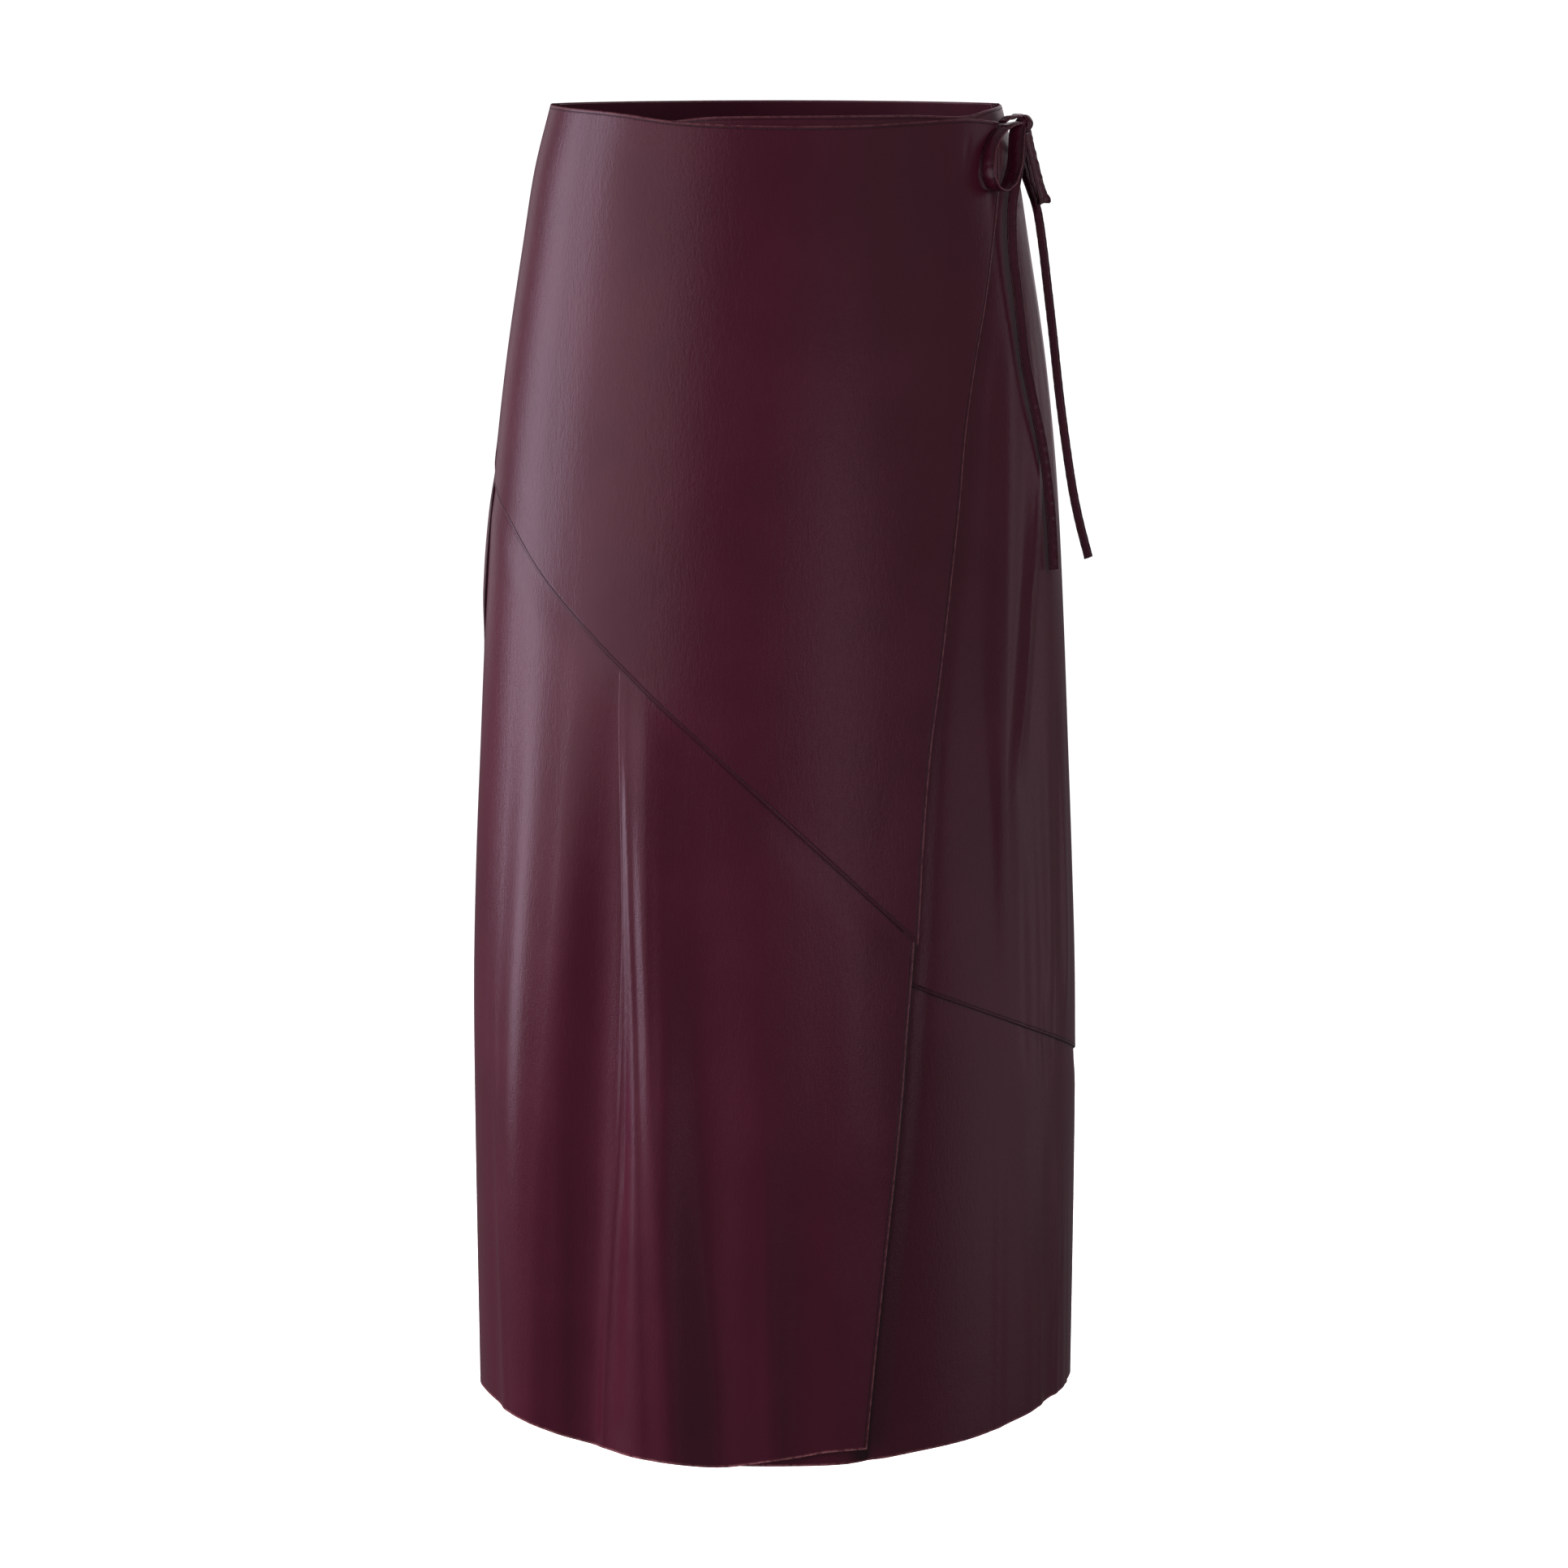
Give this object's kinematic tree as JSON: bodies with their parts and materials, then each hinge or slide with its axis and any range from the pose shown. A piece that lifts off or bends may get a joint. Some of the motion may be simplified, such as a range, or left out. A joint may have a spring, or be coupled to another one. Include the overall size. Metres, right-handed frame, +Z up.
{
  "type": "leather skirt",
  "caption": "Worn wrap midi skirt in thin leather: front overlap with a diagonal seam and a released tuck over an underlap, seamed back, open waist and hem, tie bow at the side.",
  "frame": {"origin": "middle of the waist opening, level with the top ends of the side seams", "axes": "+Z up along the body, -Y to the front, +X to the wearer's left side, where the bow is"},
  "size_m": [0.3994, 0.309, 0.8448],
  "materials": {
    "outer_leather": "smooth coated leather, soft satin sheen, fine vertical grain",
    "facing_leather": "the same leather turned inside the waist",
    "tie_leather": "folded and edge-stitched strap of the same leather",
    "cloth_backing": "knitted backing on the leather's inner side",
    "thread": "sewing thread, a shade darker than the leather"
  },
  "bodies": {
    "root": {"overlap_upper": "outer_leather", "overlap_lower": "outer_leather", "underlap_upper": "outer_leather", "underlap_lower": "outer_leather", "back_upper": "outer_leather", "back_upper_side": "outer_leather", "back_lower": "outer_leather", "back_facing": "facing_leather", "tie_knot": "tie_leather", "tie_root_front": "tie_leather", "tie_root_side": "tie_leather", "tie_loop_front": "tie_leather", "tie_loop_rear": "tie_leather", "tie_tail_inner": "tie_leather", "tie_tail_outer": "tie_leather"}
  },
  "joints": []
}
